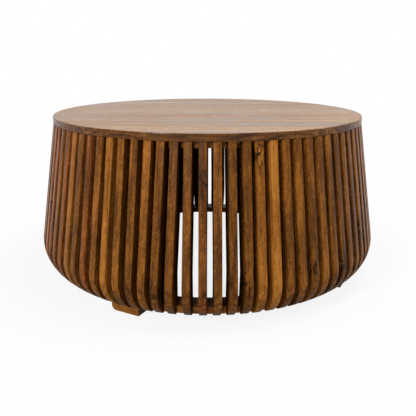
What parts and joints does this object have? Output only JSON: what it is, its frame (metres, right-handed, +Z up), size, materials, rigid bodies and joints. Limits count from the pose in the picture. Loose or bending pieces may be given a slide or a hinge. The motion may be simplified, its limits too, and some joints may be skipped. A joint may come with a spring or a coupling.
{
  "type": "slatted drum coffee table",
  "caption": "Round wooden drum coffee table: board top on upright slats that flare down and curve in to a base ring on low feet, open below.",
  "frame": {"origin": "on the floor, under the centre of the tabletop", "axes": "+Z up along the drum's axis, -Y towards the front, where a gap between two slats is centred, +X along the tabletop's boards"},
  "size_m": [0.8968, 0.8966, 0.415],
  "materials": {
    "top_wood": "satin",
    "slat_wood": "satin",
    "frame_wood": "satin",
    "peg_wood": "satin"
  },
  "bodies": {
    "root": {"base_ring_segment_1": "frame_wood", "base_ring_segment_2": "frame_wood", "base_ring_segment_3": "frame_wood", "base_ring_segment_4": "frame_wood", "base_ring_segment_5": "frame_wood", "base_ring_segment_6": "frame_wood", "base_ring_segment_7": "frame_wood", "base_ring_segment_8": "frame_wood", "foot_pegs": "peg_wood", "front_left_foot": "frame_wood", "front_right_foot": "frame_wood", "rear_left_foot": "frame_wood", "rear_right_foot": "frame_wood", "slats_1": "slat_wood", "slats_2": "slat_wood", "slats_3": "slat_wood", "slats_4": "slat_wood", "slats_5": "slat_wood", "slats_6": "slat_wood", "slats_7": "slat_wood", "slats_8": "slat_wood", "tabletop_board_1": "top_wood", "tabletop_board_2": "top_wood", "tabletop_board_3": "top_wood", "tabletop_board_4": "top_wood", "tabletop_board_5": "top_wood", "tabletop_board_6": "top_wood", "tabletop_board_7": "top_wood", "tabletop_board_8": "top_wood", "tabletop_board_9": "top_wood", "tabletop_pegs": "peg_wood", "tabletop_tongues": "peg_wood", "top_ring_segment_1": "frame_wood", "top_ring_segment_2": "frame_wood", "top_ring_segment_3": "frame_wood", "top_ring_segment_4": "frame_wood", "top_ring_segment_5": "frame_wood", "top_ring_segment_6": "frame_wood", "top_ring_segment_7": "frame_wood", "top_ring_segment_8": "frame_wood"}
  },
  "joints": []
}
